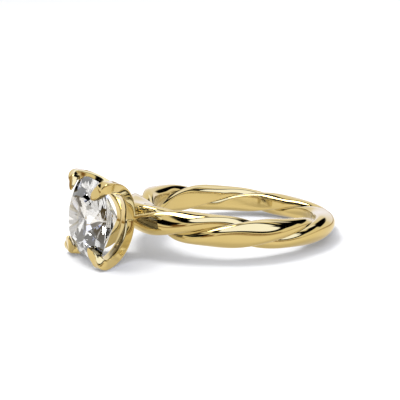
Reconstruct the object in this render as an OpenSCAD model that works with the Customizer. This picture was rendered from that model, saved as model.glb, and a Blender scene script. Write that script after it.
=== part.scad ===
// Twisted shank ring with one cushion-cut stone in four claws, lying on its side.
// Millimetres. Every piece is first drawn about the finger hole: the hole's axis is Z and the stone
// points along -X. The whole ring is then tilted until it lies on two claws and on the shank opposite.

/* [Finger hole] */
// Diameter of the finger hole
bore_d = 17; // [15:0.1:20]

/* [Shank] */
// Half twists of the two strands round the whole ring
half_twists = 7; // [5:2:9]
// Turn of the crossing opposite the stone, round the finger, from the stone's own axis
crossing_turn = -8; // [-15:1:15]
// Half the thickness of a strand, square to the line through both strands
strand_r = 1.24; // [1.16:0.02:1.3]
// Half the width of a strand, along the line through both strands
strand_half_w = 0.95; // [0.9:0.01:1.0]
// Distance of a strand's middle from the middle of the pair
strand_offset = 0.55; // [0.45:0.01:0.6]
// How much further apart the strands run, and how much narrower each is, beside the stone
shoulder_split = 0.18; // [0:0.01:0.2]
// Depth of gold from the finger hole to the middle of the pair, beside the stone
shoulder_depth = 1.15; // [1:0.01:1.2]
// Depth of gold from the finger hole to the middle of the pair, opposite the stone
base_depth = 1.2; // [1.05:0.01:1.2]
// Height of the shank along the finger, beside the stone
shoulder_h = 3.5; // [3:0.1:4]
// Height of the shank along the finger, opposite the stone
base_h = 2.3; // [2:0.1:3]
// How far the strands rise outwards under the claw setting
neck_rise = 1.2; // [1:0.1:1.8]
// How much lower the pair is there, measured along the finger
neck_drop = 0.7; // [0.3:0.1:0.9]

/* [Claw setting] */
// Thickness of a claw wire, seen from the side of the ring
wire_t = 1.15; // [0.9:0.05:1.2]
// Width of a claw wire, across its flat side faces
wire_w = 1.3; // [1:0.05:1.4]
// Distance between the middles of the two wires where they are soldered to the shank
wire_gap = 1.1; // [1:0.05:1.6]
// How deep the wires are sunk into the shank
solder_depth = 0.2; // [0.15:0.05:0.4]
// How far a claw reaches over the crown from the stone's corner
claw_reach = 1.5; // [1:0.05:1.6]
// Thickness of a claw at its tip
tip_t = 0.4; // [0.4:0.05:0.7]
// Width of a claw at its tip
tip_w = 1.35; // [0.7:0.05:1.4]

/* [Stone] */
// Width of the stone across its flat sides
stone_w = 8.2; // [6.5:0.1:9]
// Height of the crown above the girdle
crown_h = 1.25; // [0.9:0.05:1.4]
// Thickness of the girdle
girdle_t = 0.2; // [0.1:0.05:0.3]
// Depth of the pavilion below the girdle
pavilion_h = 3.15; // [2.8:0.05:3.5]
// Room between the culet and the wires below it
culet_room = 0.2; // [0.1:0.05:0.4]
// Gap between the stone and the metal that holds it
stone_gap = 0.05; // [0.03:0.01:0.08]

/* [Hidden] */

// Fineness of the meshes
ring_steps = 98;
strand_sides = 24;
arc_steps = 14;
claw_steps = 9;
wire_sides = 12;

bore_r = bore_d / 2;
half_pitch = 360 / half_twists;

// Shank: angle b runs round the finger hole from the stone, angle a round the section from straight outwards.
// side is 1 beside the stone and 0 opposite it.
function side(b) = (1 + cos(b)) / 2;
function pair_h(b) = base_h + (shoulder_h - base_h) * pow(side(b), 0.65) - neck_drop * pow(max(cos(b), 0), 8);
function tall(b) = pair_h(b) / (2 * (strand_half_w + strand_offset));
function split(b) = shoulder_split * pow(max(cos(b), 0), 3);
function neck(b) = neck_rise * pow(max(cos(b), 0), 8);
function depth(b) = base_depth + (shoulder_depth - base_depth) * side(b) + neck(b);
function twist(b) = 180 * (b - 180 - crossing_turn) / half_pitch;
// Distance from the middle of the pair to the outer one of two overlapping ellipses, at a from the line through both
function pair_reach(b, a) =
    let (half_w = strand_half_w - split(b), shift = (strand_offset + split(b)) / half_w)
    let (wide = abs(cos(a)) / half_w, thick = sin(a) / strand_r)
    (shift * wide + sqrt(wide * wide + thick * thick * (1 - shift * shift))) / (wide * wide + thick * thick);
// The inner side is kept a little inside the finger hole, which is cut through it afterwards.
cut_depth = 0.25;
function reach(b, a) =
    let (free = pair_reach(b, a - twist(b)), wall = -(depth(b) + cut_depth) / min(cos(a), -0.001))
    cos(a) >= 0 ? free : min(free + neck(b), wall);
function shank_point(b, a) =
    let (radius = bore_r + depth(b) + reach(b, a) * cos(a))
    [-radius * cos(b), -radius * sin(b), min(reach(b, a), pair_reach(b, a - twist(b))) * sin(a) * tall(b)];
shank_points = [for (i = [0:ring_steps - 1], k = [0:strand_sides - 1])
    shank_point(360 * i / ring_steps, 360 * k / strand_sides)];
// Quads between neighbouring sections of a closed tube
function ring_faces(n, m) = [for (i = [0:n - 1], k = [0:m - 1])
    [i * m + k, i * m + (k + 1) % m, ((i + 1) % n) * m + (k + 1) % m, ((i + 1) % n) * m + k]];

// Claw setting: distances along the stone's axis, from the middle of the finger hole
shank_top = bore_r + depth(0) + pair_reach(0, 0 - twist(0));
wire_base = shank_top - solder_depth + wire_t / 2;
culet_d = wire_base + wire_t / 2 + culet_room;
girdle_d = culet_d + pavilion_h + girdle_t / 2;

// Stone: half the width of the cushion in direction q
function cushion(q) = stone_w / 2 * pow(pow(abs(cos(q)), 3.2) + pow(abs(sin(q)), 3.2), -1 / 3.2);
corner_r = cushion(45);
table_share = 0.6;

// A wire has a square section with rounded corners. Where it passes the girdle, its inner edge faces the
// stone's corner, and over the crown it turns until its underside lies flat along the stone.
function round_box(a) = pow(pow(abs(cos(a)), 4) + pow(abs(sin(a)), 4), -1 / 4);
wire_half = max(wire_t, wire_w) / 2;
function claw_half(t) = wire_half + (tip_t / 2 - wire_half) * t;
function over(t) = min(2 * t, 1);
wire_side = (corner_r + stone_gap + wire_half * round_box(45)) * cos(45);

// Middle of one wire: f from 0 at the shank to 1 at the girdle, then t from 0 to 1 over the crown
splay_share = 0.3;
function splay(f) = splay_share * f + (1 - splay_share) * (1 - cos(90 * f));
function wire_lower(f) =
    [girdle_d - (girdle_d - wire_base) * cos(90 * f), wire_gap / 2 + (wire_side - wire_gap / 2) * splay(f),
     wire_side * sin(90 * f)];
crown_slope = atan(crown_h / (corner_r * (1 - table_share)));
function wire_upper(t) =
    let (lift = stone_gap + claw_half(t) * round_box(45 * (1 - over(t))), turn = (90 - crown_slope) * over(t))
    let (along = claw_reach * max(2 * t - 1, 0))
    let (r = (corner_r + lift * cos(turn) - along * cos(crown_slope)) * cos(45))
    [girdle_d + girdle_t / 2 + lift * sin(turn) + along * sin(crown_slope), r, r];
half_wire = concat([for (i = [0:arc_steps]) wire_lower(i / arc_steps)],
                   [for (i = [1:claw_steps]) wire_upper(i / claw_steps)]);
last = len(half_wire) - 1;
wire_count = 2 * last + 1;
// Stations run from the upper claw's tip through the shank to the lower claw's tip.
function wire_at(j) = j <= last ? half_wire[last - j] : [half_wire[j - last].x, half_wire[j - last].y, -half_wire[j - last].z];
function unit(v) = v / norm(v);
function wire_run(j) = unit(wire_at(min(j + 1, wire_count - 1)) - wire_at(max(j - 1, 0)));
function station_t(j) = max(1 - min(j, wire_count - 1 - j) / claw_steps, 0);
// A claw narrows to a blunt, rounded tip
tip_start = 0.55;
tip_share = 0.85;
function tip_round(t) = sqrt(1 - pow(max(t - tip_start, 0) / (1 - tip_start), 2) * tip_share);
function claw_t(t) = (wire_t + (tip_t - wire_t) * t) * tip_round(t);
function claw_w(t) = (wire_w + (tip_w - wire_w) * t) * tip_round(t);
function wire_point(j, k, turn_side) =
    let (t = station_t(j), lean = 45 * over(t) * (j < last ? -1 : 1))
    let (run = wire_run(j), flat = [0, cos(lean), sin(lean)])
    let (across = unit(flat - run * (run * flat)), out = cross(across, run))
    let (a = 360 * k / wire_sides, q = round_box(a) / 2)
    let (p = wire_at(j) + out * (claw_t(t) * q * cos(a)) + across * (claw_w(t) * q * sin(a)))
    [-p.x, turn_side * p.y, p.z];
function wire_points(turn_side) =
    [for (j = [0:wire_count - 1], k = [0:wire_sides - 1]) wire_point(j, k, turn_side)];
function tube_faces(n, m) = concat(
    [[for (k = [m - 1:-1:0]) k]],
    [for (i = [0:n - 2], k = [0:m - 1]) [i * m + k, i * m + (k + 1) % m, (i + 1) * m + (k + 1) % m, (i + 1) * m + k]],
    [[for (k = [0:m - 1]) (n - 1) * m + k]]);
function flipped(faces) = [for (f = faces) [for (i = [len(f) - 1:-1:0]) f[i]]];

// Tilt at which the ring lies on its claws and on the shank
metal_points = concat(wire_points(1), wire_points(-1));
base_points = [for (p = shank_points) if (p.x > 0) p];
function drop(points, t) = min([for (p = points) p.z * cos(t) - p.x * sin(t)]);
function rest_tilt(lo, hi, n) =
    let (mid = (lo + hi) / 2)
    n == 0 ? mid
    : drop(metal_points, mid) < drop(base_points, mid) ? rest_tilt(mid, hi, n - 1) : rest_tilt(lo, mid, n - 1);
tilt = rest_tilt(0, 30, 24);
table_points = [for (i = [0:7]) let (r = cushion(45 * i) * table_share)
    [-(girdle_d + girdle_t / 2 + crown_h), r * cos(45 * i), r * sin(45 * i)]];
all_points = concat(metal_points, shank_points, table_points);
function tilted_x(p) = p.x * cos(tilt) + p.z * sin(tilt);
low_x = min([for (p = all_points) tilted_x(p)]);
high_x = max([for (p = all_points) tilted_x(p)]);
low_y = min([for (p = all_points) p.y]);
high_y = max([for (p = all_points) p.y]);

module lying() {
    translate([-(low_x + high_x) / 2, -(low_y + high_y) / 2, -drop(metal_points, tilt)])
        rotate([0, tilt, 0]) children();
}

module twisted_shank() {
    polyhedron(shank_points, ring_faces(ring_steps, strand_sides));
}

module claw_wire(turn_side) {
    faces = tube_faces(wire_count, wire_sides);
    polyhedron(wire_points(turn_side), turn_side > 0 ? faces : flipped(faces));
}

// Cushion brilliant with its girdle's middle at the origin and its table towards +Z
module cushion_stone() {
    rim_z = girdle_t / 2;
    star_z = rim_z + 0.55 * crown_h;
    main_z = -rim_z - 0.75 * pavilion_h;
    points = concat(
        [for (i = [0:7]) let (q = 45 * i, r = cushion(q) * table_share) [r * cos(q), r * sin(q), rim_z + crown_h]],
        [for (i = [0:7]) let (q = 45 * i + 22.5, r = cushion(q) * 0.8) [r * cos(q), r * sin(q), star_z]],
        [for (i = [0:15]) let (q = 22.5 * i, r = cushion(q)) [r * cos(q), r * sin(q), rim_z]],
        [for (i = [0:15]) let (q = 22.5 * i, r = cushion(q)) [r * cos(q), r * sin(q), -rim_z]],
        [for (i = [0:7]) let (q = 45 * i + 22.5, r = cushion(q) * 0.27) [r * cos(q), r * sin(q), main_z]],
        [[0, 0, -rim_z - pavilion_h]]);
    faces = concat(
        [[for (i = [7:-1:0]) i]],
        [for (i = [0:7]) [i, (i + 1) % 8, 8 + i]],
        [for (i = [0:7]) [i, 8 + i, 16 + 2 * i]],
        [for (i = [0:7]) [8 + i, (i + 1) % 8, 16 + (2 * i + 2) % 16]],
        [for (i = [0:7]) [16 + 2 * i, 8 + i, 16 + 2 * i + 1]],
        [for (i = [0:7]) [16 + 2 * i + 1, 8 + i, 16 + (2 * i + 2) % 16]],
        [for (i = [0:15]) [16 + i, 16 + (i + 1) % 16, 32 + (i + 1) % 16, 32 + i]],
        [for (i = [0:7]) [32 + 2 * i, 32 + 2 * i + 1, 48 + i]],
        [for (i = [0:7]) [32 + 2 * i + 1, 32 + (2 * i + 2) % 16, 48 + i]],
        [for (i = [0:7]) [48 + i, 32 + (2 * i + 2) % 16, 48 + (i + 1) % 8]],
        [for (i = [0:7]) [48 + i, 48 + (i + 1) % 8, 56]]);
    polyhedron(points, faces);
}

module ring_mount() {
    color("goldenrod") lying() difference() {
        union() {
            twisted_shank();
            claw_wire(1);
            claw_wire(-1);
        }
        cylinder(h = 8 * strand_r, r = bore_r, center = true, $fn = 180);
    }
}

module center_stone() {
    color("whitesmoke") lying() translate([-girdle_d, 0, 0]) rotate([0, -90, 0]) cushion_stone();
}

ring_mount();
center_stone();
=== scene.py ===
"""Looks of a twisted shank ring that lies on its side: gold, stone, floor, studio light and camera."""

import logging
import math
from dataclasses import dataclass, field
from enum import Enum

import bpy
import numpy as np
from mathutils import Matrix, Vector


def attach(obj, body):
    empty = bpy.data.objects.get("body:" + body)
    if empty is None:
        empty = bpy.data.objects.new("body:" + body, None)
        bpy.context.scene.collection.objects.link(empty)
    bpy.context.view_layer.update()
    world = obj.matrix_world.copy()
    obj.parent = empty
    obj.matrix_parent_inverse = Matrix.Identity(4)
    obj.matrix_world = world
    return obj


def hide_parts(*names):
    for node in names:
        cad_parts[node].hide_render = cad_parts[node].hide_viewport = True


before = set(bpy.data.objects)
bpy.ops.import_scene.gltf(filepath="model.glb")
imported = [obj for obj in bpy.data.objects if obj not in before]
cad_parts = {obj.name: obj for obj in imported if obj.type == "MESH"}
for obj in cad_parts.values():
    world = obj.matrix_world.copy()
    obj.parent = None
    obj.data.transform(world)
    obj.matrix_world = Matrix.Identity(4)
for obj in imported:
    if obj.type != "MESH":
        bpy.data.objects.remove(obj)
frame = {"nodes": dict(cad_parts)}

logging.basicConfig(level=logging.INFO, format="%(name)s: %(message)s")
log = logging.getLogger("ring")

MM = 0.001
Plane = tuple[np.ndarray, np.ndarray]
Colour = tuple[float, float, float, float]


class Slot(Enum):
    """Material slot names, one for the gold and one for the stone."""

    GOLD = "gold"
    STONE = "stone"


class Half(Enum):
    """Which side of the stone a claw wire stands on."""

    NEAR = -1
    FAR = 1


def cos_power(b: np.ndarray, power: float) -> np.ndarray:
    """Share that is 1 beside the stone and falls to 0 a quarter of the way round."""
    return np.maximum(np.cos(b), 0.0) ** power


def soft_min(x: np.ndarray, y: np.ndarray, blend: float) -> np.ndarray:
    """The smaller of two distances, with a rounded change from one to the other.

    Args:
        x: first distances.
        y: second distances.
        blend: difference below which the two are blended.

    Returns:
        The blended distances.
    """
    near = np.maximum(blend - np.abs(x - y), 0.0) / blend
    return np.minimum(x, y) - near * near * blend / 4


@dataclass(frozen=True)
class RingLayout:
    """Sizes of the ring in millimetres, drawn about its finger hole with the stone towards -X."""

    bore_r: float = 8.5
    half_twists: int = 7
    crossing_turn: float = math.radians(-8)
    strand_r: float = 1.24
    strand_half_w: float = 0.95
    strand_offset: float = 0.55
    shoulder_split: float = 0.18
    shoulder_depth: float = 1.15
    base_depth: float = 1.2
    shoulder_h: float = 3.5
    base_h: float = 2.3
    neck_rise: float = 1.2
    neck_drop: float = 0.7
    wire_t: float = 1.15
    wire_w: float = 1.3
    wire_gap: float = 1.1
    solder_depth: float = 0.2
    claw_reach: float = 1.5
    tip_t: float = 0.4
    tip_w: float = 1.35
    splay_share: float = 0.3
    stone_w: float = 8.2
    crown_h: float = 1.25
    girdle_t: float = 0.2
    pavilion_h: float = 3.15
    culet_room: float = 0.2
    stone_gap: float = 0.05
    table_share: float = 0.6
    height_power: float = 0.65
    neck_power: float = 8
    split_power: float = 3
    cushion_power: float = 3.2
    tilt: float = math.radians(7.20499)
    place: tuple[float, float, float] = (3.5231, -0.0464482, 2.37201)

    def side(self, b: np.ndarray) -> np.ndarray:
        """Share that is 1 beside the stone and 0 opposite it."""
        return (1 + np.cos(b)) / 2

    def tall(self, b: np.ndarray) -> np.ndarray:
        """How much the section is stretched along the finger."""
        height = self.base_h + (self.shoulder_h - self.base_h) * self.side(b) ** self.height_power
        height -= self.neck_drop * cos_power(b, self.neck_power)
        return height / (2 * (self.strand_half_w + self.strand_offset))

    def neck(self, b: np.ndarray) -> np.ndarray:
        """How far the pair of strands rises outwards under the claws."""
        return self.neck_rise * cos_power(b, self.neck_power)

    def depth(self, b: np.ndarray) -> np.ndarray:
        """Depth of gold from the finger hole to the middle of the pair."""
        return self.base_depth + (self.shoulder_depth - self.base_depth) * self.side(b) + self.neck(b)

    def twist(self, b: np.ndarray) -> np.ndarray:
        """Turn of the line through both strands."""
        return self.half_twists / 2 * (b - math.pi - self.crossing_turn)

    def pair_reach(self, b: np.ndarray, a: np.ndarray) -> np.ndarray:
        """Distance from the middle of the pair to the outer one of two overlapping ellipses.

        Args:
            b: angles round the finger hole, from the stone.
            a: angles from the line through both strands.

        Returns:
            The distances in millimetres.
        """
        split = self.shoulder_split * cos_power(b, self.split_power)
        half_w = self.strand_half_w - split
        shift = (self.strand_offset + split) / half_w
        wide = np.abs(np.cos(a)) / half_w
        thick = np.sin(a) / self.strand_r
        return (shift * wide + np.sqrt(wide**2 + thick**2 * (1 - shift**2))) / (wide**2 + thick**2)

    @property
    def shank_top(self) -> float:
        """Distance of the groove between the strands, under the stone."""
        zero = np.zeros(1)
        return float((self.bore_r + self.depth(zero) + self.pair_reach(zero, -self.twist(zero)))[0])

    @property
    def wire_base(self) -> float:
        """Distance of the wires' middle where they cross the shank."""
        return self.shank_top - self.solder_depth + self.wire_t / 2

    @property
    def girdle_d(self) -> float:
        """Distance of the girdle's middle."""
        culet = self.wire_base + self.wire_t / 2 + self.culet_room
        return culet + self.pavilion_h + self.girdle_t / 2

    def cushion(self, q: np.ndarray) -> np.ndarray:
        """Half the width of the cushion in direction q."""
        power = self.cushion_power
        return self.stone_w / 2 * (np.abs(np.cos(q)) ** power + np.abs(np.sin(q)) ** power) ** (-1 / power)

    @property
    def corner_r(self) -> float:
        """Distance of the stone's corners from its axis."""
        return float(self.cushion(np.array(math.pi / 4)))

    @property
    def lying(self) -> Matrix:
        """Place of the ring as it lies, from its own frame in millimetres to metres."""
        spot = Vector(self.place) * MM
        return Matrix.Translation(spot) @ Matrix.Rotation(self.tilt, 4, "Y") @ Matrix.Scale(MM, 4)


def select_only(obj: bpy.types.Object) -> None:
    """Makes one object the active and only selected one."""
    bpy.ops.object.select_all(action="DESELECT")
    obj.select_set(True)
    bpy.context.view_layer.objects.active = obj


def take_active(name: str) -> bpy.types.Object:
    """Names the primitive that was just added, and its mesh."""
    obj = bpy.context.view_layer.objects.active
    obj.name = name
    obj.data.name = name
    return obj


def places_of(obj: bpy.types.Object) -> np.ndarray:
    """Places of all vertices, one row each."""
    flat = np.empty(len(obj.data.vertices) * 3)
    obj.data.vertices.foreach_get("co", flat)
    return flat.reshape(-1, 3)


def move_to(obj: bpy.types.Object, places: np.ndarray, lying: Matrix) -> None:
    """Moves every vertex to its place on the lying ring.

    Args:
        obj: the piece.
        places: places in the ring's own frame in millimetres.
        lying: the ring's place.
    """
    turn = np.array(lying.to_3x3())
    spot = np.array(lying.translation)
    obj.data.vertices.foreach_set("co", (places @ turn.T + spot).ravel())
    obj.data.update()


def facing_out(obj: bpy.types.Object) -> None:
    """Turns all faces outwards."""
    select_only(obj)
    bpy.ops.object.mode_set(mode="EDIT")
    bpy.ops.mesh.select_all(action="SELECT")
    bpy.ops.mesh.normals_make_consistent(inside=False)
    bpy.ops.object.mode_set(mode="OBJECT")


@dataclass
class Shank:
    """Two gold strands twisted round each other and closed to a ring, polished flat inside."""

    layout: RingLayout
    sections: int = 256
    sides: int = 160
    edge_blend: float = 0.1
    slimmer: float = 0.988
    start_r: float = 9.6

    def section_places(self, b: np.ndarray, a: np.ndarray) -> np.ndarray:
        """Places on the strands.

        Args:
            b: angles round the finger hole, from the stone.
            a: angles round the section, from straight outwards.

        Returns:
            One place for each pair of angles.
        """
        lay = self.layout
        free = lay.pair_reach(b, a - lay.twist(b))
        inward = np.minimum(np.cos(a), -0.001)
        flat = soft_min(free + lay.neck(b), -lay.depth(b) / inward, self.edge_blend)
        reach = np.where(np.cos(a) >= 0, free, flat)
        radius = lay.bore_r + lay.depth(b) + reach * np.cos(a) * np.where(np.cos(a) > 0, self.slimmer, 1)
        height = np.minimum(reach, free) * np.sin(a) * lay.tall(b)
        return np.stack([-radius * np.cos(b), -radius * np.sin(b), height * self.slimmer], -1)

    def build(self) -> bpy.types.Object:
        """Opens a torus at one section, lays it along the twisting strands and closes it again.

        Returns:
            The shank's object.
        """
        bpy.ops.object.select_all(action="DESELECT")
        bpy.ops.mesh.primitive_torus_add(
            major_segments=self.sections,
            minor_segments=self.sides,
            major_radius=self.start_r,
            minor_radius=1,
        )
        obj = take_active("shank")
        start = places_of(obj)
        step = 2 * math.pi / self.sections
        open_turn = 2 * math.pi - step
        turn = np.arctan2(start[:, 1], start[:, 0]) % (2 * math.pi)
        b = np.round(turn / step) % self.sections * step
        across = np.hypot(start[:, 0], start[:, 1]) - self.start_r
        a = np.arctan2(start[:, 2], across) + self.layout.twist(b)
        faces = np.empty(len(obj.data.polygons) * 3)
        obj.data.polygons.foreach_get("center", faces)
        faces = faces.reshape(-1, 3)
        seam = np.arctan2(faces[:, 1], faces[:, 0]) % (2 * math.pi) > open_turn
        bpy.ops.object.mode_set(mode="EDIT")
        bpy.ops.mesh.select_mode(type="FACE")
        bpy.ops.mesh.select_all(action="DESELECT")
        bpy.ops.object.mode_set(mode="OBJECT")
        obj.data.polygons.foreach_set("select", seam)
        bpy.ops.object.mode_set(mode="EDIT")
        bpy.ops.mesh.delete(type="FACE")
        bpy.ops.object.mode_set(mode="OBJECT")
        move_to(obj, self.section_places(b, a), self.layout.lying)
        bpy.ops.object.mode_set(mode="EDIT")
        bpy.ops.mesh.select_mode(type="EDGE")
        bpy.ops.mesh.select_all(action="DESELECT")
        bpy.ops.mesh.select_non_manifold(
            extend=False, use_wire=False, use_multi_face=False, use_non_contiguous=False
        )
        bpy.ops.mesh.bridge_edge_loops()
        bpy.ops.object.mode_set(mode="OBJECT")
        facing_out(obj)
        bpy.ops.object.shade_smooth_by_angle(angle=math.radians(32))
        return obj


@dataclass
class ClawSetting:
    """Two U-shaped gold wires whose four ends are claws over the stone's corners."""

    layout: RingLayout
    arc_steps: int = 44
    claw_steps: int = 40
    sides: int = 56
    squareness: float = 10.0
    slimmer: float = 0.935
    tip_start: float = 0.55
    tip_cut: float = 0.985
    room_power: float = 4.0

    @property
    def wire_half(self) -> float:
        """Half the larger side of the wire."""
        return max(self.layout.wire_t, self.layout.wire_w) / 2

    def round_box(self, a: np.ndarray, power: float) -> np.ndarray:
        """Reach of a square with rounded corners, 1 at the middle of its sides."""
        return (np.abs(np.cos(a)) ** power + np.abs(np.sin(a)) ** power) ** (-1 / power)

    def over(self, t: np.ndarray) -> np.ndarray:
        """How far the claw has turned over the crown, from 0 to 1."""
        return np.minimum(2 * t, 1)

    def course(self) -> tuple[np.ndarray, np.ndarray]:
        """Middle of one wire, from its place on the shank to a claw's tip.

        Returns:
            Places, and for each place how far along the claw it is, from 0 at the girdle to 1.
        """
        lay = self.layout
        corner = self.wire_half * self.round_box(np.array(math.pi / 4), self.room_power)
        side = (lay.corner_r + lay.stone_gap + corner) / math.sqrt(2)
        f = np.linspace(0, 1, self.arc_steps + 1)
        bend = 1 - np.cos(f * math.pi / 2)
        splay = lay.splay_share * f + (1 - lay.splay_share) * bend
        lower = np.stack(
            [
                lay.girdle_d - (lay.girdle_d - lay.wire_base) * (1 - bend),
                lay.wire_gap / 2 + (side - lay.wire_gap / 2) * splay,
                side * np.sin(f * math.pi / 2),
            ],
            -1,
        )
        t = np.sin(np.linspace(0, 1, self.claw_steps + 1)[1:] * math.pi / 2)
        slope = math.atan(lay.crown_h / (lay.corner_r * (1 - lay.table_share)))
        claw_half = self.wire_half + (lay.tip_t / 2 - self.wire_half) * t
        lift = lay.stone_gap + claw_half * self.round_box(math.pi / 4 * (1 - self.over(t)), self.room_power)
        turn = (math.pi / 2 - slope) * self.over(t)
        along = lay.claw_reach * np.maximum(2 * t - 1, 0)
        r = (lay.corner_r + lift * np.cos(turn) - along * math.cos(slope)) / math.sqrt(2)
        d = lay.girdle_d + lay.girdle_t / 2 + lift * np.sin(turn) + along * math.sin(slope)
        upper = np.stack([d, r, r], -1)
        return np.concatenate([lower, upper]), np.concatenate([np.zeros(len(lower)), t])

    def rings(self, half: Half) -> np.ndarray:
        """Places of the wire's sections, from the upper claw's tip to the lower claw's.

        Args:
            half: the side of the stone.

        Returns:
            An array of stations by sides by three.
        """
        lay = self.layout
        middle, t = self.course()
        under = middle[1:] * np.array([1, 1, -1])
        line = np.concatenate([middle[::-1], under])
        share = np.concatenate([t[::-1], t[1:]])
        sign = np.where(np.arange(len(line)) < len(middle) - 1, -1.0, 1.0)
        run = np.gradient(line, axis=0)
        run /= np.linalg.norm(run, axis=1, keepdims=True)
        lean = math.pi / 4 * self.over(share) * sign
        flat = np.stack([np.zeros(len(line)), np.cos(lean), np.sin(lean)], -1)
        across = flat - run * np.sum(run * flat, axis=1, keepdims=True)
        across /= np.linalg.norm(across, axis=1, keepdims=True)
        out = np.cross(across, run)
        tip = np.clip((share - self.tip_start) / (1 - self.tip_start), 0, 1)
        blunt = np.sqrt(1 - tip**2 * self.tip_cut) * self.slimmer
        thick = (lay.wire_t + (lay.tip_t - lay.wire_t) * share) * blunt
        wide = (lay.wire_w + (lay.tip_w - lay.wire_w) * share) * blunt
        a = np.arange(self.sides) * 2 * math.pi / self.sides
        q = self.round_box(a, self.squareness) / 2
        places = (
            line[:, None]
            + out[:, None] * (thick[:, None] * q * np.cos(a))[..., None]
            + across[:, None] * (wide[:, None] * q * np.sin(a))[..., None]
        )
        return places * np.array([-1, half.value, 1])

    def build_wire(self, half: Half) -> bpy.types.Object:
        """Extrudes a filled circle station by station and lays it along the wire's course.

        Args:
            half: the side of the stone.

        Returns:
            The wire's object.
        """
        rings = self.rings(half)
        bpy.ops.object.select_all(action="DESELECT")
        bpy.ops.mesh.primitive_circle_add(vertices=self.sides, radius=1, fill_type="NGON")
        obj = take_active("claw_wire_" + half.name.lower())
        bpy.ops.object.mode_set(mode="EDIT")
        bpy.ops.mesh.select_all(action="SELECT")
        for _ in range(len(rings) - 1):
            bpy.ops.mesh.extrude_region_move(TRANSFORM_OT_translate={"value": (0, 0, 1)})
        bpy.ops.object.mode_set(mode="OBJECT")
        start = places_of(obj)
        station = np.round(start[:, 2]).astype(int)
        turn = np.arctan2(start[:, 1], start[:, 0]) / (2 * math.pi)
        corner = np.round(turn * self.sides).astype(int) % self.sides
        move_to(obj, rings[station, corner], self.layout.lying)
        facing_out(obj)
        bpy.ops.object.shade_smooth_by_angle(angle=math.radians(28))
        return obj

    def build(self) -> list[bpy.types.Object]:
        """Both wires of the setting."""
        return [self.build_wire(half) for half in Half]


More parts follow.
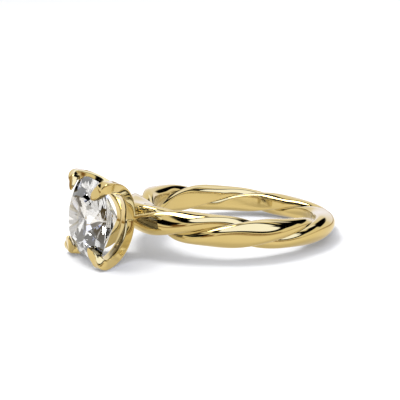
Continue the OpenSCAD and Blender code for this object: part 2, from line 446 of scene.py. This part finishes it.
@dataclass
class Stone:
    """Clear cushion-shaped brilliant, cut facet by facet."""

    layout: RingLayout
    outline_sides: int = 64
    star_share: float = 0.5
    lower_share: float = 0.78
    star_dip: float = 0.97
    half_dip: float = 0.985
    lower_dip: float = 0.97
    break_share: float = 0.98
    break_ways: int = 16
    breaks: tuple[tuple[float, tuple[float, ...]], ...] = (
        (0.5, (-0.3, -1.4, 0.45)),
        (0.0, (-0.75, -0.5, 0.3)),
        (0.25, (-1.0, -0.4)),
    )
    least_lean: float = 0.05
    spare: float = 0.4

    def rim(self, q: float, z: float) -> np.ndarray:
        """Place on the girdle in direction q at height z."""
        r = float(self.layout.cushion(np.array(q)))
        return np.array([r * math.cos(q), r * math.sin(q), z])

    def inset(self, place: np.ndarray, share: float) -> np.ndarray:
        """The place moved towards the stone's axis."""
        return place * np.array([share, share, 1])

    def facets(self) -> list[Plane]:
        """Planes of all facets but the girdle's, as a point and an outward normal each."""
        lay = self.layout
        half = lay.girdle_t / 2
        table_z = half + lay.crown_h
        culet = np.array([0, 0, -half - lay.pavilion_h])
        cuts = [(np.array([0, 0, table_z]), np.array([0, 0, 1.0]))]
        slopes = []
        mains = []
        for i in range(8):
            q = i * math.pi / 4
            r = float(lay.cushion(np.array(q)))
            out = np.array([math.cos(q), math.sin(q), 0])
            up = np.array([0, 0, 1.0])
            slopes.append((self.rim(q, half), out * lay.crown_h + up * r * (1 - lay.table_share)))
            mains.append((culet, out * lay.pavilion_h - up * r))
        cuts += slopes + mains
        for i in range(8):
            j = (i + 1) % 8
            q = (i + 0.5) * math.pi / 4
            sides = [i * math.pi / 4, (i + 1) * math.pi / 4]
            shoulder = self.meet(slopes[i], slopes[j], half + lay.crown_h * self.star_share)
            table_edge = [self.rim(s, 0) * lay.table_share + np.array([0, 0, table_z]) for s in sides]
            cuts.append(self.plane(table_edge[0], table_edge[1], self.inset(shoulder, self.star_dip)))
            foot = self.meet(mains[i], mains[j], -half - lay.pavilion_h * self.lower_share)
            above = self.inset(shoulder, self.half_dip)
            below = self.inset(foot, self.lower_dip)
            for s in sides:
                cuts.append(self.plane(self.rim(s, half), self.rim(q, half), above))
                cuts.append(self.plane(self.rim(s, -half), self.rim(q, -half), below))
        small = []
        for offset, rises in self.breaks:
            for i in range(self.break_ways):
                turn = (i + offset) * 2 * math.pi / self.break_ways
                for rise in rises:
                    small.append(self.break_plane(cuts, np.array([math.cos(turn), math.sin(turn), rise])))
        return cuts + small

    def break_plane(self, cuts: list[Plane], way: np.ndarray) -> Plane:
        """Small facet that takes off the ridge which a direction from the stone's middle meets.

        Args:
            cuts: the main facets.
            way: the direction.

        Returns:
            The facet's point and normal.
        """
        found = []
        for place, normal in cuts:
            unit = normal / np.linalg.norm(normal)
            if way @ unit > self.least_lean:
                found.append(((place @ unit) / (way @ unit), unit))
        found.sort(key=lambda pair: pair[0])
        blend = sum(unit for _, unit in found[:3])
        return way * found[0][0] * self.break_share, blend / np.linalg.norm(blend)

    def meet(self, one: Plane, two: Plane, z: float) -> np.ndarray:
        """Place at height z where two facets meet.

        Args:
            one: a facet's point and normal.
            two: its neighbour's point and normal.
            z: the height.

        Returns:
            The place.
        """
        rows = np.array([one[1], two[1], [0, 0, 1.0]])
        return np.linalg.solve(rows, np.array([one[0] @ one[1], two[0] @ two[1], z]))

    def plane(self, p: np.ndarray, q: np.ndarray, r: np.ndarray) -> Plane:
        """Plane through three places, with its normal away from the stone's middle."""
        normal = np.cross(q - p, r - p)
        normal /= np.linalg.norm(normal)
        return p, normal if normal @ p > 0 else -normal

    def build(self) -> bpy.types.Object:
        """Cuts a cushion-shaped block with one plane for each facet.

        Returns:
            The stone's object.
        """
        lay = self.layout
        low = -lay.girdle_t / 2 - lay.pavilion_h
        high = lay.girdle_t / 2 + lay.crown_h
        bpy.ops.object.select_all(action="DESELECT")
        bpy.ops.mesh.primitive_cylinder_add(
            vertices=self.outline_sides,
            radius=1,
            depth=high - low + self.spare,
            location=(0, 0, (high + low) / 2),
        )
        obj = take_active("cushion_stone")
        bpy.ops.object.transform_apply(location=True, rotation=True, scale=True)
        block = places_of(obj)
        reach = lay.cushion(np.arctan2(block[:, 1], block[:, 0]))
        block[:, :2] *= reach[:, None]
        obj.data.vertices.foreach_set("co", block.ravel())
        bpy.ops.object.mode_set(mode="EDIT")
        for place, normal in self.facets():
            bpy.ops.mesh.select_all(action="SELECT")
            unit = normal / np.linalg.norm(normal)
            bpy.ops.mesh.bisect(
                plane_co=tuple(place), plane_no=tuple(unit), use_fill=True, clear_outer=True, threshold=1e-5
            )
        bpy.ops.mesh.select_all(action="SELECT")
        bpy.ops.mesh.remove_doubles(threshold=1e-4)
        bpy.ops.object.mode_set(mode="OBJECT")
        cut = places_of(obj)
        placed = np.stack([-lay.girdle_d - cut[:, 2], cut[:, 1], cut[:, 0]], -1)
        move_to(obj, placed, lay.lying)
        facing_out(obj)
        bpy.ops.object.shade_flat()
        return obj


def math_node(
    tree: bpy.types.NodeTree, kind: str, *parts: object, clamp: bool = False
) -> bpy.types.NodeSocket:
    """Math node with its inputs set or linked.

    Args:
        tree: the node tree.
        kind: the operation.
        parts: a number or a socket for each input.
        clamp: whether the result is kept between 0 and 1.

    Returns:
        The result's socket.
    """
    node = tree.nodes.new("ShaderNodeMath")
    node.operation = kind
    node.use_clamp = clamp
    for slot, part in zip(node.inputs, parts):
        if isinstance(part, (int, float)):
            slot.default_value = part
        else:
            tree.links.new(part, slot)
    return node.outputs[0]


def mix_node(tree: bpy.types.NodeTree, share: object, one: object, two: object) -> bpy.types.NodeSocket:
    """Mix of two colours, each a tuple or a socket, by a share socket."""
    node = tree.nodes.new("ShaderNodeMix")
    node.data_type = "RGBA"
    for name, part in {"Factor": share, "A": one, "B": two}.items():
        if isinstance(part, tuple):
            node.inputs[name].default_value = part
        else:
            tree.links.new(part, node.inputs[name])
    return node.outputs["Result"]


def step_up(tree: bpy.types.NodeTree, value: object, edge: float, soft: float) -> bpy.types.NodeSocket:
    """0 below an edge and 1 above it, with a soft change."""
    part = math_node(tree, "SUBTRACT", value, edge - soft / 2)
    return math_node(tree, "DIVIDE", part, soft, clamp=True)


def range_node(
    tree: bpy.types.NodeTree, value: object, start: tuple[float, float], end: tuple[float, float]
) -> bpy.types.NodeSocket:
    """Value moved from one range to another, each given as its low and high end."""
    node = tree.nodes.new("ShaderNodeMapRange")
    for name, part in zip(("From Min", "From Max", "To Min", "To Max"), start + end):
        node.inputs[name].default_value = part
    tree.links.new(value, node.inputs["Value"])
    return node.outputs["Result"]


def polish_node(
    tree: bpy.types.NodeTree, polish: bpy.types.NodeTree, cloud_scale: float, line_scale: float
) -> bpy.types.Node:
    """The hand polish group in a material, with its two scales."""
    node = tree.nodes.new("ShaderNodeGroup")
    node.node_tree = polish
    node.inputs["Cloud Scale"].default_value = cloud_scale
    node.inputs["Line Scale"].default_value = line_scale
    return node


def new_group(name: str, inputs: dict[str, float], outputs: dict[str, str]) -> bpy.types.NodeTree:
    """Empty shader node group with named float inputs.

    Args:
        name: the group's name.
        inputs: default value of each input.
        outputs: socket type of each output.

    Returns:
        The group, with an input and an output node.
    """
    group = bpy.data.node_groups.new(name, "ShaderNodeTree")
    for label, value in inputs.items():
        socket = group.interface.new_socket(name=label, in_out="INPUT", socket_type="NodeSocketFloat")
        socket.default_value = value
    for label, kind in outputs.items():
        group.interface.new_socket(name=label, in_out="OUTPUT", socket_type=kind)
    group.nodes.new("NodeGroupInput").name = "values"
    group.nodes.new("NodeGroupOutput").name = "results"
    return group


def polish_group() -> bpy.types.NodeTree:
    """Hand polish: soft clouds, fine hairlines and a height for both, in object coordinates.

    Returns:
        The node group with outputs Clouds, Hairlines and Height.
    """
    group = new_group(
        "hand_polish",
        {"Cloud Scale": 300.0, "Line Scale": 9000.0},
        {"Clouds": "NodeSocketFloat", "Hairlines": "NodeSocketFloat", "Height": "NodeSocketFloat"},
    )
    nodes, links = group.nodes, group.links
    values, results = nodes["values"], nodes["results"]
    where = nodes.new("ShaderNodeTexCoord")
    clouds = nodes.new("ShaderNodeTexNoise")
    clouds.inputs["Detail"].default_value = 3.0
    links.new(where.outputs["Object"], clouds.inputs["Vector"])
    links.new(values.outputs["Cloud Scale"], clouds.inputs["Scale"])
    stretch = nodes.new("ShaderNodeMapping")
    stretch.inputs["Scale"].default_value = (1.0, 0.12, 0.35)
    stretch.inputs["Rotation"].default_value = (0.3, 0.5, 0.7)
    links.new(where.outputs["Object"], stretch.inputs["Vector"])
    lines = nodes.new("ShaderNodeTexNoise")
    lines.inputs["Detail"].default_value = 2.0
    links.new(stretch.outputs["Vector"], lines.inputs["Vector"])
    links.new(values.outputs["Line Scale"], lines.inputs["Scale"])
    both = math_node(group, "ADD", clouds.outputs["Fac"], lines.outputs["Fac"])
    links.new(clouds.outputs["Fac"], results.inputs["Clouds"])
    links.new(lines.outputs["Fac"], results.inputs["Hairlines"])
    links.new(both, results.inputs["Height"])
    return group


@dataclass(frozen=True)
class GoldFinish:
    """Polished yellow gold, with painted tones for what reflections and bounce light see of it."""

    name: str = "polished_gold"
    light: Colour = (0.66, 0.505, 0.205, 1)
    deep: Colour = (0.62, 0.47, 0.18, 1)
    # beyond: painted shade tone, a neutral grey that the gold shows to diffuse and transmission rays, so the
    # floor's shadow gets no gold bounce
    beyond: Colour = (0.45, 0.45, 0.46, 1)
    # again: painted reflection, a paler gold that the gold shows to glossy rays
    again: Colour = (0.8, 0.74, 0.56, 1)
    cloud_scale: float = 260.0
    line_scale: float = 9000.0
    hairlines: tuple[float, float] = (0.3, 0.7)
    rough: tuple[float, float] = (0.03, 0.085)
    bump: float = 0.012
    bump_depth: float = 0.00002

    def build(self, polish: bpy.types.NodeTree) -> bpy.types.Material:
        """Makes the material.

        Args:
            polish: the hand polish group.

        Returns:
            The material.
        """
        mat = bpy.data.materials.new(self.name)
        mat.use_nodes = True
        tree = mat.node_tree
        nodes, links = tree.nodes, tree.links
        shader = nodes["Principled BSDF"]
        shader.inputs["Metallic"].default_value = 1.0
        worn = polish_node(tree, polish, self.cloud_scale, self.line_scale)
        path = nodes.new("ShaderNodeLightPath")
        tone = mix_node(tree, worn.outputs["Clouds"], self.deep, self.light)
        # Painted reflection: to glossy rays the gold is painted paler than it is.
        tone = mix_node(tree, path.outputs["Is Glossy Ray"], tone, self.again)
        # Painted shade tone: to diffuse and transmission rays the gold is painted neutral grey.
        diffuse, through = path.outputs["Is Diffuse Ray"], path.outputs["Is Transmission Ray"]
        beyond = math_node(tree, "MAXIMUM", diffuse, through)
        links.new(mix_node(tree, beyond, tone, self.beyond), shader.inputs["Base Color"])
        rough = range_node(tree, worn.outputs["Hairlines"], self.hairlines, self.rough)
        links.new(rough, shader.inputs["Roughness"])
        bump = nodes.new("ShaderNodeBump")
        bump.inputs["Strength"].default_value = self.bump
        bump.inputs["Distance"].default_value = self.bump_depth
        links.new(worn.outputs["Height"], bump.inputs["Height"])
        links.new(bump.outputs["Normal"], shader.inputs["Normal"])
        return mat


@dataclass(frozen=True)
class StoneFinish:
    """Clear, colourless cut stone."""

    name: str = "clear_stone"
    tint: Colour = (0.985, 0.99, 1.0, 1)
    clear: Colour = (1.0, 1.0, 1.0, 1)
    # in_gold: painted dark reflection, the near black that the stone shows to glossy rays from outside it
    in_gold: Colour = (0.02, 0.014, 0.008, 1)
    ior: float = 2.42
    cloud_scale: float = 500.0
    line_scale: float = 4000.0
    hairlines: tuple[float, float] = (0.35, 0.65)
    rough: tuple[float, float] = (0.0, 0.004)

    def build(self, polish: bpy.types.NodeTree) -> bpy.types.Material:
        """Makes the material.

        Args:
            polish: the hand polish group.

        Returns:
            The material.
        """
        mat = bpy.data.materials.new(self.name)
        mat.use_nodes = True
        tree = mat.node_tree
        nodes, links = tree.nodes, tree.links
        shader = nodes["Principled BSDF"]
        shader.inputs["Transmission Weight"].default_value = 1.0
        shader.inputs["IOR"].default_value = self.ior
        worn = polish_node(tree, polish, self.cloud_scale, self.line_scale)
        path = nodes.new("ShaderNodeLightPath")
        # Painted dark reflection: seen in glossy reflections from outside, the stone's colour is near black.
        outside = math_node(tree, "LESS_THAN", path.outputs["Transmission Depth"], 0.5)
        mirrored = math_node(tree, "MULTIPLY", outside, path.outputs["Is Glossy Ray"])
        tone = mix_node(tree, worn.outputs["Clouds"], self.tint, self.clear)
        links.new(mix_node(tree, mirrored, tone, self.in_gold), shader.inputs["Base Color"])
        rough = range_node(tree, worn.outputs["Hairlines"], self.hairlines, self.rough)
        links.new(rough, shader.inputs["Roughness"])
        return mat


@dataclass(frozen=True)
class Card:
    """Card of the studio, black if not toned, by its direction from the ring in degrees."""

    turn: float
    half_width: float
    low: float
    high: float
    tone: Colour = (0.0, 0.0, 0.0, 1)
    soft: float = 0.03


@dataclass(frozen=True)
class Softbox:
    """Large round light overhead with a dark frame round it, by direction from the ring in degrees."""

    turn: float = 265.0
    rise: float = 58.0
    radius: float = 35.5
    frame: float = 10.0
    cool: Colour = (1.49, 1.75, 2.9, 1)
    plain: Colour = (1.1, 1.1, 1.1, 1)

    @property
    def aim(self) -> tuple[float, float, float]:
        """Unit vector towards its middle."""
        turn, rise = math.radians(self.turn), math.radians(self.rise)
        return (math.cos(rise) * math.cos(turn), math.cos(rise) * math.sin(turn), math.sin(rise))


@dataclass
class Studio:
    """White floor and walls, cards, a large light overhead and a lamp; the stone has its own cards."""

    floor_size: float = 3.0
    # Painted light seen only in reflections: the floor's glow near the ring, its brown glow far off, where
    # the brown begins, and how much shadow the glow fills.
    painted_floor_glow: Colour = (1.05, 1.0, 0.9, 1)
    painted_far_brown: Colour = (0.42, 0.3, 0.13, 1)
    far_edge: float = 0.045
    far_soft: float = 0.05
    shadow_fill: float = 0.5
    wall: float = 1.05
    ambient: float = 0.9
    lamp_place: tuple[float, float, float] = (-0.05, 0.1, 0.26)
    lamp_size: float = 0.12
    lamp_watts: float = 0.42
    softbox: Softbox = Softbox()
    cards: list[Card] = field(default_factory=list)
    stone_cards: list[Card] = field(default_factory=list)

    def build_floor(self) -> bpy.types.Object:
        """Plain white floor; in the gold's reflections it glows with painted light that fills half its
        shadow, and far off it glows a painted brown.
        """
        bpy.ops.object.select_all(action="DESELECT")
        bpy.ops.mesh.primitive_plane_add(size=self.floor_size, location=(0, 0, 0))
        floor = take_active("floor")
        mat = bpy.data.materials.new("white_floor")
        mat.use_nodes = True
        nodes, links = mat.node_tree.nodes, mat.node_tree.links
        shader = nodes["Principled BSDF"]
        shader.inputs["Roughness"].default_value = 0.6
        shader.inputs["Specular IOR Level"].default_value = 0.2
        grain = nodes.new("ShaderNodeTexNoise")
        grain.inputs["Scale"].default_value = 400.0
        where = nodes.new("ShaderNodeTexCoord")
        links.new(where.outputs["Object"], grain.inputs["Vector"])
        tone = nodes.new("ShaderNodeMix")
        tone.data_type = "RGBA"
        tone.inputs["A"].default_value = (0.95, 0.95, 0.955, 1)
        tone.inputs["B"].default_value = (0.965, 0.965, 0.97, 1)
        links.new(grain.outputs["Fac"], tone.inputs["Factor"])
        links.new(tone.outputs["Result"], shader.inputs["Base Color"])
        # Painted light: to glossy rays the floor is partly an emission, white near the ring and brown far
        # off.
        bright = nodes.new("ShaderNodeEmission")
        reach = nodes.new("ShaderNodeVectorMath")
        reach.operation = "LENGTH"
        links.new(where.outputs["Object"], reach.inputs[0])
        far = step_up(mat.node_tree, reach.outputs["Value"], self.far_edge, self.far_soft)
        links.new(mix_node(mat.node_tree, far, self.painted_floor_glow, self.painted_far_brown), bright.inputs["Color"])
        path = nodes.new("ShaderNodeLightPath")
        seen = nodes.new("ShaderNodeMixShader")
        share = math_node(mat.node_tree, "MULTIPLY", path.outputs["Is Glossy Ray"], self.shadow_fill)
        share = math_node(mat.node_tree, "MULTIPLY", share, math_node(mat.node_tree, "ADD", far, 1.0))
        links.new(share, seen.inputs["Fac"])
        links.new(shader.outputs["BSDF"], seen.inputs[1])
        links.new(bright.outputs["Emission"], seen.inputs[2])
        links.new(seen.outputs["Shader"], nodes["Material Output"].inputs["Surface"])
        floor.data.materials.append(mat)
        return floor

    def card_mask(self, tree: bpy.types.NodeTree, card: Card, way: dict[str, object]) -> bpy.types.NodeSocket:
        """1 where a direction meets a card and 0 elsewhere.

        Args:
            tree: the node tree.
            card: the card.
            way: sockets with the direction's x and y, its share along the floor and its height.

        Returns:
            The mask's socket.
        """
        turn = math.radians(card.turn)
        along_x = math_node(tree, "MULTIPLY", way["x"], math.cos(turn))
        along_y = math_node(tree, "MULTIPLY", way["y"], math.sin(turn))
        along = math_node(tree, "DIVIDE", math_node(tree, "ADD", along_x, along_y), way["flat"])
        beside = math_node(tree, "ARCCOSINE", along)
        outside = step_up(tree, beside, math.radians(card.half_width), card.soft * 3)
        above = step_up(tree, way["height"], card.low / 90, card.soft)
        over = step_up(tree, way["height"], card.high / 90, card.soft)
        band = math_node(tree, "SUBTRACT", above, over, clamp=True)
        return math_node(tree, "MULTIPLY", band, math_node(tree, "SUBTRACT", 1.0, outside))

    def build_surround(self) -> None:
        """Walls, overhead light and cards for the reflections; the floor gets plain white light."""
        world = bpy.data.worlds.new("studio")
        bpy.context.scene.world = world
        world.use_nodes = True
        tree = world.node_tree
        tree.nodes.clear()
        where = tree.nodes.new("ShaderNodeTexCoord")
        parts = tree.nodes.new("ShaderNodeSeparateXYZ")
        tree.links.new(where.outputs["Generated"], parts.inputs[0])
        x, y, z = parts.outputs[0], parts.outputs[1], parts.outputs[2]
        rest = math_node(tree, "SUBTRACT", 1.0, math_node(tree, "MULTIPLY", z, z))
        way = {
            "x": x,
            "y": y,
            "flat": math_node(tree, "SQRT", math_node(tree, "MAXIMUM", rest, 1e-6)),
            "height": math_node(tree, "DIVIDE", math_node(tree, "ARCSINE", z), math.pi / 2),
        }
        path = tree.nodes.new("ShaderNodeLightPath")
        toward = [math_node(tree, "MULTIPLY", side, aim) for side, aim in zip((x, y, z), self.softbox.aim)]
        toward = math_node(tree, "ADD", math_node(tree, "ADD", toward[0], toward[1]), toward[2])
        away = math_node(tree, "ARCCOSINE", toward)
        past_box = step_up(tree, away, math.radians(self.softbox.radius), 0.03)
        past_frame = step_up(tree, away, math.radians(self.softbox.radius + self.softbox.frame), 0.03)
        framed = math_node(tree, "SUBTRACT", past_box, past_frame, clamp=True)
        box = mix_node(tree, path.outputs["Is Transmission Ray"], self.softbox.cool, self.softbox.plain)
        light = mix_node(tree, past_box, box, (self.wall, self.wall, self.wall, 1))
        light = mix_node(tree, framed, light, (0.0, 0.0, 0.0, 1))
        for card in self.cards:
            light = mix_node(tree, self.card_mask(tree, card, way), light, card.tone)
        for card in self.stone_cards:
            mask = math_node(
                tree, "MULTIPLY", self.card_mask(tree, card, way), path.outputs["Is Transmission Ray"]
            )
            light = mix_node(tree, mask, light, card.tone)
        plain = (self.ambient, self.ambient, self.ambient, 1)
        sharp = math_node(
            tree, "ADD", path.outputs["Is Glossy Ray"], path.outputs["Is Transmission Ray"], clamp=True
        )
        light = mix_node(tree, sharp, plain, light)
        light = mix_node(tree, path.outputs["Is Camera Ray"], light, (1.0, 1.0, 1.0, 1))
        back = tree.nodes.new("ShaderNodeBackground")
        tree.links.new(light, back.inputs["Color"])
        out = tree.nodes.new("ShaderNodeOutputWorld")
        tree.links.new(back.outputs["Background"], out.inputs["Surface"])

    def build_lamp(self) -> None:
        """Square lamp that shines on the ring from behind and above."""
        lamp = bpy.data.lights.new("key_lamp", "AREA")
        lamp.shape = "SQUARE"
        lamp.size = self.lamp_size
        lamp.energy = self.lamp_watts
        obj = bpy.data.objects.new("key_lamp", lamp)
        obj.location = self.lamp_place
        obj.rotation_euler = (-Vector(self.lamp_place)).to_track_quat("-Z", "Y").to_euler()
        bpy.context.collection.objects.link(obj)

    def build(self) -> None:
        """Floor, surroundings and lamp."""
        self.build_floor()
        self.build_surround()
        self.build_lamp()


@dataclass(frozen=True)
class PhotoView:
    """Camera at the photograph's angle, given about the middle of the finger hole.

    The angles are taken in the plane of the shank; head_turn is where the stone points, from
    straight at the camera.
    """

    head_turn: float = math.radians(-60.02)
    rise: float = math.radians(10.779)
    roll: float = math.radians(4.553)
    distance: float = 145.34
    focal_px: float = 1349.7
    picture_px: float = 400.0
    hole_px: tuple[float, float] = (232.2, 214.32)

    def build(self, layout: RingLayout) -> bpy.types.Object:
        """Places the camera so that the finger hole's middle falls on its pixel.

        Args:
            layout: the ring's sizes and place.

        Returns:
            The camera's object.
        """
        spot = Vector((0, -math.cos(self.rise), math.sin(self.rise))) * self.distance
        ahead = Vector((0, math.cos(self.rise), -math.sin(self.rise)))
        flat_right = Vector((1, 0, 0))
        flat_up = flat_right.cross(ahead)
        right = flat_right * math.cos(self.roll) + flat_up * math.sin(self.roll)
        up = -flat_right * math.sin(self.roll) + flat_up * math.cos(self.roll)
        half = self.picture_px / 2
        aside = math.atan2(self.hole_px[0] - half, self.focal_px)
        below = math.atan2(self.hole_px[1] - half, self.focal_px)
        gaze = ahead * math.cos(aside) * math.cos(below) - right * math.sin(aside) + up * math.sin(below)
        gaze.normalize()
        right = (right - gaze * gaze.dot(right)).normalized()
        up = right.cross(gaze)
        swing = Matrix.Rotation(-math.pi / 2 - self.head_turn, 3, "Z")
        turn = swing @ Matrix((right, up, -gaze)).transposed()
        seat = swing @ spot
        pose = Matrix.Translation(seat * MM) @ turn.to_4x4()
        place = Matrix.Translation(Vector(layout.place) * MM) @ Matrix.Rotation(layout.tilt, 4, "Y")
        data = bpy.data.cameras.new("photo_camera")
        data.sensor_width = 36.0
        data.lens = 36.0 * self.focal_px / self.picture_px
        data.clip_start = 0.005
        data.clip_end = 20.0
        camera = bpy.data.objects.new("photo_camera", data)
        bpy.context.collection.objects.link(camera)
        camera.matrix_world = place @ pose
        bpy.context.scene.camera = camera
        return camera


def dress(obj: bpy.types.Object, mat: bpy.types.Material, node: str) -> None:
    """Gives a piece its material and its place in the model, and reports it.

    Args:
        obj: the piece.
        mat: its material.
        node: the CAD node that it stands for.
    """
    obj.data.materials.clear()
    obj.data.materials.append(mat)
    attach(obj, "root")
    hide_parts(node)
    log.info("%s: %d faces", obj.name, len(obj.data.polygons))


def main() -> None:
    """Builds and dresses the ring, then the studio and the camera."""
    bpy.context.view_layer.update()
    layout = RingLayout()
    polish = polish_group()
    gold = GoldFinish().build(polish)
    clear = StoneFinish().build(polish)
    dress(Shank(layout).build(), gold, "ring_mount")
    for wire in ClawSetting(layout).build():
        dress(wire, gold, "ring_mount")
    dress(Stone(layout).build(), clear, "center_stone")
    brown = (0.26, 0.14, 0.05, 1)
    cream = (1.3, 1.42, 2.0, 1)
    grey = (0.2, 0.2, 0.21, 1)
    studio = Studio(
        cards=[
            Card(turn=42, half_width=24, low=40, high=64, tone=cream),
            Card(turn=50, half_width=25, low=-6, high=13, tone=(1.12, 1.16, 1.4, 1)),
            Card(turn=350, half_width=32, low=30, high=54),
            Card(turn=18, half_width=22, low=14, high=42),
            Card(turn=88, half_width=26, low=50, high=68),
            Card(turn=184, half_width=14, low=10, high=37),
            Card(turn=145, half_width=26, low=14, high=50),
            Card(turn=262, half_width=42, low=2, high=8, tone=brown),
            Card(turn=202, half_width=10, low=3, high=20, tone=brown),
        ],
        stone_cards=[Card(turn=24 * i + 5, half_width=4, low=2, high=22, tone=grey) for i in range(15)]
        + [Card(turn=36 * i + 12, half_width=7, low=26, high=44) for i in range(10)]
        + [Card(turn=60 * i + 40, half_width=11, low=50, high=72) for i in range(6)]
        + [Card(turn=72 * i + 20, half_width=10, low=-60, high=-25, tone=grey) for i in range(5)],
    )
    studio.build()
    PhotoView().build(layout)
    bpy.context.scene.view_settings.view_transform = "Standard"


if __name__ == "__main__":
    main()
